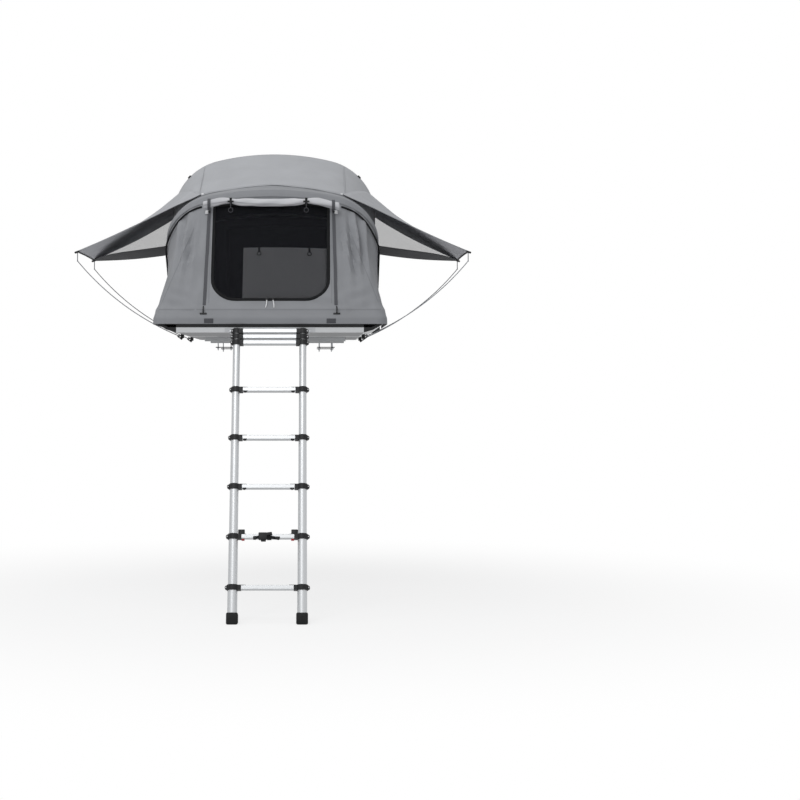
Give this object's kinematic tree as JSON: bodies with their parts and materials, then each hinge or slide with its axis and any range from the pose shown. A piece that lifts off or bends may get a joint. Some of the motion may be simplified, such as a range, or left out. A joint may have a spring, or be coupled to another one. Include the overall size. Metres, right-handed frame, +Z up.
{
  "type": "roof top tent",
  "caption": "Soft-shell tent on a folding base for a vehicle roof rack, with hooped canopy, fly sheet, side awnings and a telescopic ladder.",
  "frame": {"origin": "centre of the rack clamps, on the plane where the mounting rails rest on the rack bars", "axes": "+Z up, +Y from the ladder end to the far end of the tent, +X along the vehicle, to the right seen from the ladder"},
  "size_m": [2.633, 3.129, 3.0082],
  "materials": {
    "aluminium": "anodised, brushed",
    "black_plastic": "moulded",
    "steel": "zinc plated",
    "dark_steel": "powder coated",
    "floor_panel": "coated sandwich board",
    "grey_canvas": "coated canvas",
    "light_canvas": "coated polyester",
    "mesh": "fine insect mesh",
    "mattress_cover": "woven cover",
    "rubber": "moulded",
    "red_plastic": "moulded"
  },
  "bodies": {
    "rear_base": {"rear_floor_panel": "floor_panel", "rear_floor_bars": "aluminium", "rear_side_rails": "aluminium", "rear_edge_trim": "black_plastic", "mounting_rails": "aluminium", "clamp_bolts": "steel", "rear_hinge_plates": "steel", "pivot_pins": "steel", "rear_mattress": "mattress_cover", "rear_rod_forks": "black_plastic", "canopy_rear": "grey_canvas", "rear_door_mesh": "mesh", "fly_rear": "light_canvas"},
    "front_base": {"front_floor_panel": "floor_panel", "front_floor_bars": "aluminium", "front_side_rails": "aluminium", "front_edge_trim": "black_plastic", "front_hinge_plates": "steel", "front_hoop_pins": "steel", "front_mattress": "mattress_cover", "front_rod_forks": "black_plastic", "ladder_brackets": "steel", "ladder_pins": "steel", "canopy_front": "grey_canvas", "front_door_mesh": "mesh", "fly_front": "light_canvas", "door_roll": "light_canvas"},
    "hoop_front": {"hoop_front": "aluminium"},
    "hoop_centre": {"hoop_centre": "aluminium"},
    "hoop_rear": {"hoop_rear": "aluminium"},
    "rod_front_left": {"rod_front_left": "steel"},
    "rod_rear_left": {"rod_rear_left": "steel"},
    "awning_left": {"awning_left": "grey_canvas"},
    "rod_front_right": {"rod_front_right": "steel"},
    "rod_rear_right": {"rod_rear_right": "steel"},
    "awning_right": {"awning_right": "grey_canvas"},
    "clamp_jaw_front_left": {"clamp_jaw_front_left": "dark_steel"},
    "clamp_jaw_front_right": {"clamp_jaw_front_right": "dark_steel"},
    "clamp_jaw_rear_left": {"clamp_jaw_rear_left": "dark_steel"},
    "clamp_jaw_rear_right": {"clamp_jaw_rear_right": "dark_steel"},
    "ladder_1": {"ladder_section_1": "aluminium", "ladder_collars_1": "black_plastic"},
    "ladder_2": {"ladder_section_2": "aluminium", "ladder_collars_2": "black_plastic"},
    "ladder_3": {"ladder_section_3": "aluminium", "ladder_collars_3": "black_plastic"},
    "ladder_4": {"ladder_section_4": "aluminium", "ladder_collars_4": "black_plastic"},
    "ladder_5": {"ladder_section_5": "aluminium", "ladder_collars_5": "black_plastic"},
    "ladder_6": {"ladder_section_6": "aluminium", "ladder_collars_6": "black_plastic"},
    "ladder_7": {"ladder_section_7": "aluminium", "ladder_collars_7": "black_plastic"},
    "ladder_8": {"ladder_section_8": "aluminium", "ladder_collars_8": "black_plastic", "ladder_feet": "rubber"},
    "release_button_left": {"release_button_left": "red_plastic"},
    "release_button_right": {"release_button_right": "red_plastic"}
  },
  "joints": [
    {"name": "base_fold", "type": "hinge", "parent": "rear_base", "child": "front_base", "pos_m": [0, -0.602, 0.17], "axis": [-1, 0, 0], "range_deg": [0, 180], "deforming": ["canopy_front", "canopy_rear", "front_door_mesh", "rear_door_mesh", "fly_front", "fly_rear", "door_roll", "awning_left", "awning_right"]},
    {"name": "hoop_front_lean", "type": "hinge", "parent": "front_base", "child": "hoop_front", "pos_m": [0, -0.642, 0.14], "axis": [1, 0, 0], "range_deg": [0, 47]},
    {"name": "hoop_centre_lean", "type": "hinge", "parent": "rear_base", "child": "hoop_centre", "pos_m": [0, -0.602, 0.17], "axis": [-1, 0, 0], "range_deg": [0, 90]},
    {"name": "hoop_rear_lean", "type": "hinge", "parent": "rear_base", "child": "hoop_rear", "pos_m": [0, -0.562, 0.14], "axis": [-1, 0, 0], "range_deg": [0, 47]},
    {"name": "rod_front_left_stow", "type": "hinge", "parent": "front_base", "child": "rod_front_left", "pos_m": [-0.63, -1.052, 0.022], "axis": [0.5942, 0, 0.8043], "range_deg": [0, 90]},
    {"name": "rod_rear_left_stow", "type": "hinge", "parent": "rear_base", "child": "rod_rear_left", "pos_m": [-0.63, -0.152, 0.022], "axis": [-0.5942, 0, -0.8043], "range_deg": [0, 90]},
    {"name": "awning_left_furl", "type": "hinge", "parent": "hoop_centre", "child": "awning_left", "pos_m": [-0.62, -0.602, 0.9], "axis": [0, 0, -1], "range_deg": [0, 180]},
    {"name": "rod_front_right_stow", "type": "hinge", "parent": "front_base", "child": "rod_front_right", "pos_m": [0.63, -1.052, 0.022], "axis": [0.5942, 0, -0.8043], "range_deg": [0, 90]},
    {"name": "rod_rear_right_stow", "type": "hinge", "parent": "rear_base", "child": "rod_rear_right", "pos_m": [0.63, -0.152, 0.022], "axis": [-0.5942, 0, 0.8043], "range_deg": [0, 90]},
    {"name": "awning_right_furl", "type": "hinge", "parent": "hoop_centre", "child": "awning_right", "pos_m": [0.62, -0.602, 0.9], "axis": [0, 0, 1], "range_deg": [0, 180]},
    {"name": "clamp_jaw_front_left_lift", "type": "slide", "parent": "rear_base", "child": "clamp_jaw_front_left", "axis": [0, 0, 1], "range_m": [0, 0.012]},
    {"name": "clamp_jaw_front_right_lift", "type": "slide", "parent": "rear_base", "child": "clamp_jaw_front_right", "axis": [0, 0, 1], "range_m": [0, 0.012]},
    {"name": "clamp_jaw_rear_left_lift", "type": "slide", "parent": "rear_base", "child": "clamp_jaw_rear_left", "axis": [0, 0, 1], "range_m": [0, 0.012]},
    {"name": "clamp_jaw_rear_right_lift", "type": "slide", "parent": "rear_base", "child": "clamp_jaw_rear_right", "axis": [0, 0, 1], "range_m": [0, 0.012]},
    {"name": "ladder_tilt", "type": "hinge", "parent": "front_base", "child": "ladder_1", "pos_m": [0, -1.845, 0.032], "axis": [1, 0, 0], "range_deg": [-75, 0]},
    {"name": "ladder_slide_2", "type": "slide", "parent": "ladder_1", "child": "ladder_2", "axis": [0, -0.342, -0.9397], "range_m": [0, 0.274]},
    {"name": "ladder_slide_3", "type": "slide", "parent": "ladder_2", "child": "ladder_3", "axis": [0, -0.342, -0.9397], "range_m": [0, 0.274]},
    {"name": "ladder_slide_4", "type": "slide", "parent": "ladder_3", "child": "ladder_4", "axis": [0, -0.342, -0.9397], "range_m": [-0.274, 0]},
    {"name": "ladder_slide_5", "type": "slide", "parent": "ladder_4", "child": "ladder_5", "axis": [0, -0.342, -0.9397], "range_m": [-0.274, 0]},
    {"name": "ladder_slide_6", "type": "slide", "parent": "ladder_5", "child": "ladder_6", "axis": [0, -0.342, -0.9397], "range_m": [-0.274, 0]},
    {"name": "ladder_slide_7", "type": "slide", "parent": "ladder_6", "child": "ladder_7", "axis": [0, -0.342, -0.9397], "range_m": [-0.274, 0]},
    {"name": "ladder_slide_8", "type": "slide", "parent": "ladder_7", "child": "ladder_8", "axis": [0, -0.342, -0.9397], "range_m": [-0.145, 0]},
    {"name": "release_button_left_press", "type": "slide", "parent": "ladder_7", "child": "release_button_left", "axis": [1, 0, 0], "range_m": [0, 0.008], "stiffness_N_per_m": 400},
    {"name": "release_button_right_press", "type": "slide", "parent": "ladder_7", "child": "release_button_right", "axis": [-1, 0, 0], "range_m": [0, 0.008], "stiffness_N_per_m": 400}
  ],
  "couplings": [
    {"joint": "hoop_front_lean", "follows": "base_fold", "ratio": 0.2611},
    {"joint": "hoop_centre_lean", "follows": "base_fold", "ratio": 0.5},
    {"joint": "hoop_rear_lean", "follows": "base_fold", "ratio": 0.2611},
    {"joint": "rod_front_left_stow", "follows": "base_fold", "ratio": 0.5},
    {"joint": "rod_rear_left_stow", "follows": "base_fold", "ratio": 0.5},
    {"joint": "awning_left_furl", "follows": "base_fold", "ratio": 1},
    {"joint": "rod_front_right_stow", "follows": "base_fold", "ratio": 0.5},
    {"joint": "rod_rear_right_stow", "follows": "base_fold", "ratio": 0.5},
    {"joint": "awning_right_furl", "follows": "base_fold", "ratio": 1}
  ]
}
